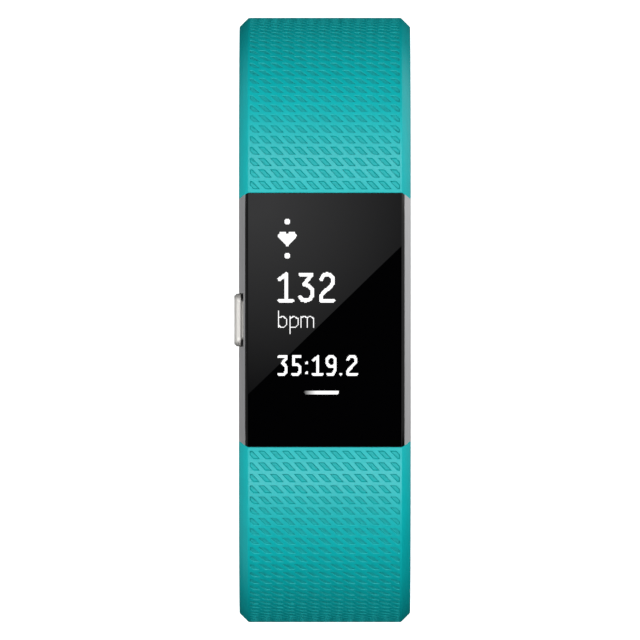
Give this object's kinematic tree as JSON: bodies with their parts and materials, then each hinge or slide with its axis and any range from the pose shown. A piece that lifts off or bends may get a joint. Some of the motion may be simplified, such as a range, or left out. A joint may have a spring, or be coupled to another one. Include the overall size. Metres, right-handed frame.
{
  "type": "fitness tracker band",
  "caption": "closed wrist band of two moulded straps round a slim bevelled display pod, with side button, quick-release latches, tang buckle and keeper",
  "frame": {"origin": "centre of the closed loop's footprint, at the level of its lowest point, the underside of the keeper", "axes": "+X across the band to the side away from the button, +Y along the display towards the upper strap, +Z out of the display"},
  "size_m": [0.0221, 0.0762, 0.0588],
  "materials": {
    "window_glass": "gloss black window",
    "case_metal": "satin, bead-blasted with polished bevels",
    "strap_elastomer": "matte moulded elastomer",
    "black_plastic": "fine matte",
    "grey_plastic": "matte glass-filled",
    "dark_gloss": "gloss",
    "silicone": "soft seal",
    "board_green": "solder resist",
    "chip_black": "moulded epoxy",
    "shield_metal": "tinned shield",
    "gold": "gold plated",
    "flex_orange": "polyimide",
    "foil": "laminated foil",
    "steel": "machined",
    "heavy_metal": "sintered weight",
    "emitter_green": "clear encapsulant over green emitter",
    "diode_dark": "dark photodiode",
    "membrane": "porous membrane",
    "passives": "ceramic parts"
  },
  "bodies": {
    "band": {"display_window": "window_glass", "window_gasket": "silicone", "display_panel": "dark_gloss", "display_flex": "flex_orange", "case_frame": "case_metal", "main_board": "board_green", "processor_chip": "chip_black", "memory_chip": "chip_black", "motion_chip": "chip_black", "radio_chip": "shield_metal", "board_parts": "passives", "antenna": "gold", "inner_chassis": "grey_plastic", "battery": "foil", "battery_lead": "flex_orange", "motor_can": "steel", "motor_plate": "steel", "motor_shaft": "steel", "button_seal": "silicone", "button_switch": "gold", "sensor_board": "board_green", "sensor_emitters": "emitter_green", "sensor_diodes": "diode_dark", "light_baffle": "black_plastic", "sensor_window": "dark_gloss", "rear_gasket": "silicone", "rear_cover": "black_plastic", "charge_contacts": "gold", "vent_membrane": "membrane", "cover_screws": "steel", "upper_strap": "strap_elastomer", "lower_strap": "strap_elastomer", "upper_insert": "grey_plastic", "lower_insert": "grey_plastic", "upper_latch_spring": "steel", "lower_latch_spring": "steel", "spring_bar_tube": "steel", "bar_spring": "steel"},
    "button": {"side_button": "case_metal"},
    "upper_latch": {"upper_latch": "case_metal"},
    "lower_latch": {"lower_latch": "case_metal"},
    "buckle": {"buckle_frame": "case_metal"},
    "tongue": {"buckle_tongue": "case_metal"},
    "left_tip": {"left_bar_tip": "steel"},
    "right_tip": {"right_bar_tip": "steel"},
    "keeper": {"strap_keeper": "strap_elastomer"},
    "rotor": {"motor_rotor": "heavy_metal"}
  },
  "joints": [
    {"name": "side_button_press", "type": "slide", "parent": "band", "child": "button", "axis": [1, 0, 0], "range_m": [0, 0.00025], "stiffness_N_per_m": 1500, "springref_m": -0.0003},
    {"name": "upper_latch_release", "type": "slide", "parent": "band", "child": "upper_latch", "axis": [0, 0.9976, -0.0698], "range_m": [0, 0.0009], "stiffness_N_per_m": 1200, "springref_m": -0.0005, "deforming": ["upper_latch_spring"]},
    {"name": "lower_latch_release", "type": "slide", "parent": "band", "child": "lower_latch", "axis": [0, -0.9976, -0.0698], "range_m": [0, 0.0009], "stiffness_N_per_m": 1200, "springref_m": -0.0005, "deforming": ["lower_latch_spring"]},
    {"name": "buckle_hinge", "type": "hinge", "parent": "band", "child": "buckle", "pos_m": [0, 0.004, 0.0047], "axis": [1, 0, 0], "range_deg": [0, 2]},
    {"name": "tongue_hinge", "type": "hinge", "parent": "buckle", "child": "tongue", "pos_m": [0, 0.004, 0.0047], "axis": [1, 0, 0], "range_deg": [0, 4]},
    {"name": "left_tip_slide", "type": "slide", "parent": "band", "child": "left_tip", "axis": [1, 0, 0], "range_m": [0, 0.0012], "stiffness_N_per_m": 1000, "springref_m": -0.001, "deforming": ["bar_spring"]},
    {"name": "right_tip_slide", "type": "slide", "parent": "band", "child": "right_tip", "axis": [-1, 0, 0], "range_m": [0, 0.0012], "stiffness_N_per_m": 1000, "springref_m": -0.001, "deforming": ["bar_spring"]},
    {"name": "keeper_slide", "type": "slide", "parent": "band", "child": "keeper", "axis": [0, 1, 0], "range_m": [-0.002, 0.003]},
    {"name": "motor_spin", "type": "hinge", "parent": "band", "child": "rotor", "pos_m": [0, 0.0052, 0.05262], "axis": [0, 0, 1], "continuous": true}
  ]
}
